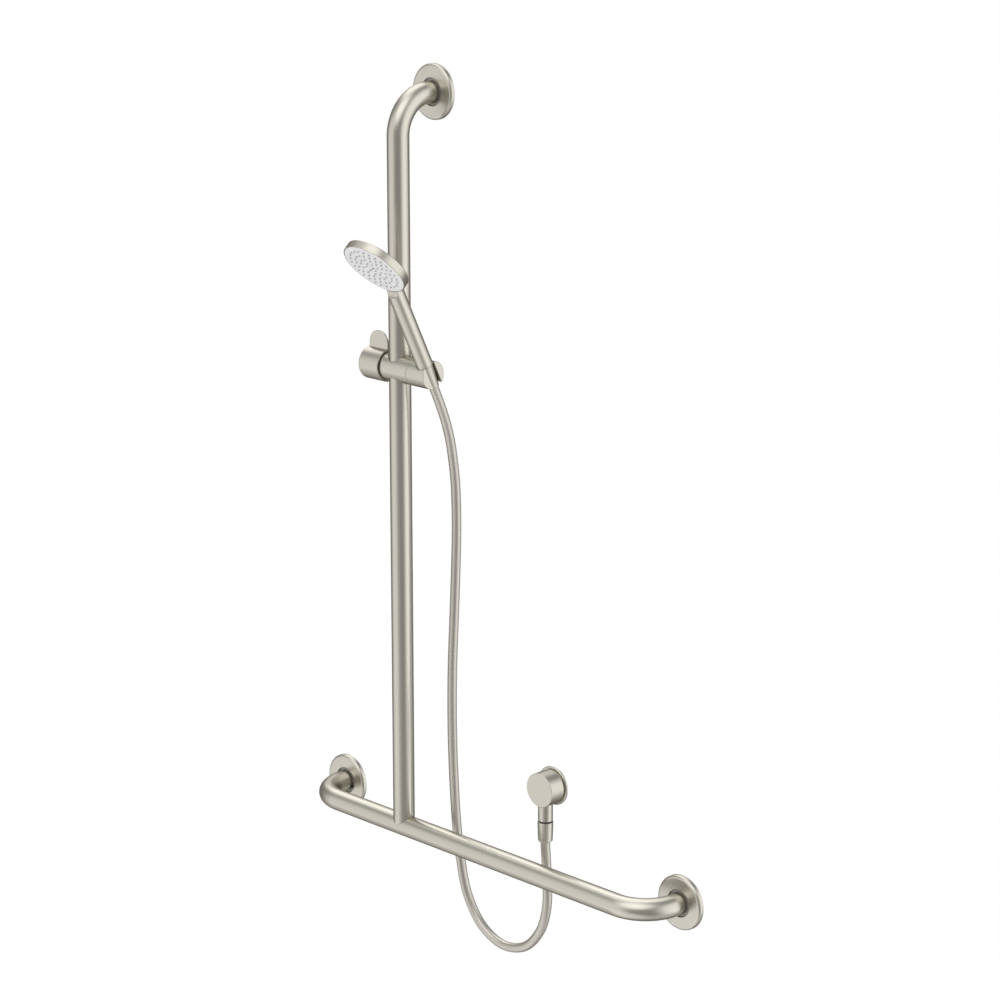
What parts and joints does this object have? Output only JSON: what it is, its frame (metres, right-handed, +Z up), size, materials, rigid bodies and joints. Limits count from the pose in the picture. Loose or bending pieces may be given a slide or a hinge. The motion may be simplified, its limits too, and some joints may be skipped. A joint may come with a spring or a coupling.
{
  "type": "shower rail set",
  "caption": "Hand shower on an inverted-T grab rail, with a sliding tilting holder, a smooth hose and a round wall elbow.",
  "frame": {"origin": "centre of the top wall plate's back face, in the wall plane", "axes": "+Z up along the vertical tube, +X along the lower rail towards its long end, +Y into the wall"},
  "size_m": [0.7678, 0.2101, 1.2935],
  "materials": {
    "satin_nickel": "satin brushed nickel over metal, soft vertical reflections",
    "plated_shell": "moulded shell plated and brushed to match the rail",
    "fixing_steel": "plain stainless steel",
    "brass": "machined brass",
    "dark_rubber": "black matt rubber",
    "white_plastic": "natural white moulded plastic",
    "face_white": "satin white-grey moulded plastic",
    "nozzle_grey": "matt grey silicone",
    "hose_skin": "smooth silver-nickel hose skin with a fine wound texture"
  },
  "bodies": {
    "root": {"vertical_tube": "satin_nickel", "lower_tube": "satin_nickel", "top_wall_plate": "fixing_steel", "left_wall_plate": "fixing_steel", "right_wall_plate": "fixing_steel", "top_wall_screw_1": "fixing_steel", "top_wall_screw_2": "fixing_steel", "top_wall_screw_3": "fixing_steel", "left_wall_screw_1": "fixing_steel", "left_wall_screw_2": "fixing_steel", "left_wall_screw_3": "fixing_steel", "right_wall_screw_1": "fixing_steel", "right_wall_screw_2": "fixing_steel", "right_wall_screw_3": "fixing_steel", "elbow_wall_disc": "satin_nickel", "elbow_body": "satin_nickel", "outlet_nipple": "brass", "elbow_seal_ring": "dark_rubber", "check_valve_cage": "white_plastic", "lower_hose_washer": "dark_rubber", "lower_hose_ferrule": "brass", "shower_hose": "hose_skin"},
    "top_cover": {"top_flange_cover": "satin_nickel"},
    "left_cover": {"left_flange_cover": "satin_nickel"},
    "right_cover": {"right_flange_cover": "satin_nickel"},
    "slider": {"slider_body": "plated_shell", "rail_bush": "white_plastic", "knob_ring": "dark_rubber", "friction_washer": "white_plastic", "tilt_bolt": "fixing_steel"},
    "lock_lever": {"lock_knob": "plated_shell", "lock_spindle": "brass"},
    "brake": {"brake_pad": "dark_rubber"},
    "holder": {"handset_holder": "plated_shell"},
    "hose_end": {"upper_hose_ferrule": "brass"},
    "handset": {"hose_cone_nut": "satin_nickel", "upper_hose_washer": "dark_rubber", "handset_inlet": "brass", "filter_screen": "fixing_steel", "flow_restrictor": "white_plastic", "water_tube": "white_plastic", "handset_handle": "plated_shell", "head_shell": "plated_shell", "face_plate": "face_white", "nozzle_mat": "nozzle_grey", "flow_plate": "white_plastic", "head_seal": "dark_rubber"},
    "lower_nut": {"hose_lower_nut": "satin_nickel"},
    "valve": {"check_valve_poppet": "white_plastic"}
  },
  "joints": [
    {"name": "top_cover_slide", "type": "slide", "parent": "root", "child": "top_cover", "axis": [0, -1, 0], "range_m": [0, 0.008]},
    {"name": "left_cover_slide", "type": "slide", "parent": "root", "child": "left_cover", "axis": [0, -1, 0], "range_m": [0, 0.008]},
    {"name": "right_cover_slide", "type": "slide", "parent": "root", "child": "right_cover", "axis": [0, -1, 0], "range_m": [0, 0.008]},
    {"name": "rail_slide", "type": "slide", "parent": "root", "child": "slider", "axis": [0, 0, 1], "range_m": [-0.63, 0.29], "deforming": ["shower_hose"]},
    {"name": "lock_turn", "type": "hinge", "parent": "slider", "child": "lock_lever", "pos_m": [-0.04, -0.0732, -0.3882], "axis": [1, 0, 0], "range_deg": [0, 60]},
    {"name": "brake_release", "type": "slide", "parent": "slider", "child": "brake", "axis": [-1, 0, 0], "range_m": [0, 0.0005]},
    {"name": "holder_tilt", "type": "hinge", "parent": "slider", "child": "holder", "pos_m": [0.05, -0.0732, -0.3882], "axis": [1, 0, 0], "range_deg": [-12, 40], "deforming": ["shower_hose"]},
    {"name": "handset_lift", "type": "slide", "parent": "holder", "child": "hose_end", "axis": [0, -0.4399, 0.898], "range_m": [0, 0.05], "deforming": ["shower_hose"]},
    {"name": "handset_swivel", "type": "hinge", "parent": "hose_end", "child": "handset", "pos_m": [0.0588, -0.0732, -0.3882], "axis": [0, -0.4399, 0.898], "range_deg": [-90, 90]},
    {"name": "lower_nut_turn", "type": "hinge", "parent": "root", "child": "lower_nut", "pos_m": [0.2378, -0.0168, -1.05], "axis": [0, 0, 1], "continuous": true},
    {"name": "check_valve_open", "type": "slide", "parent": "root", "child": "valve", "axis": [0, 0, -1], "range_m": [0, 0.003], "stiffness_N_per_m": 60, "springref_m": -0.002}
  ],
  "couplings": [
    {"joint": "brake_release", "follows": "lock_turn", "m_per_rad": 0.000477}
  ]
}
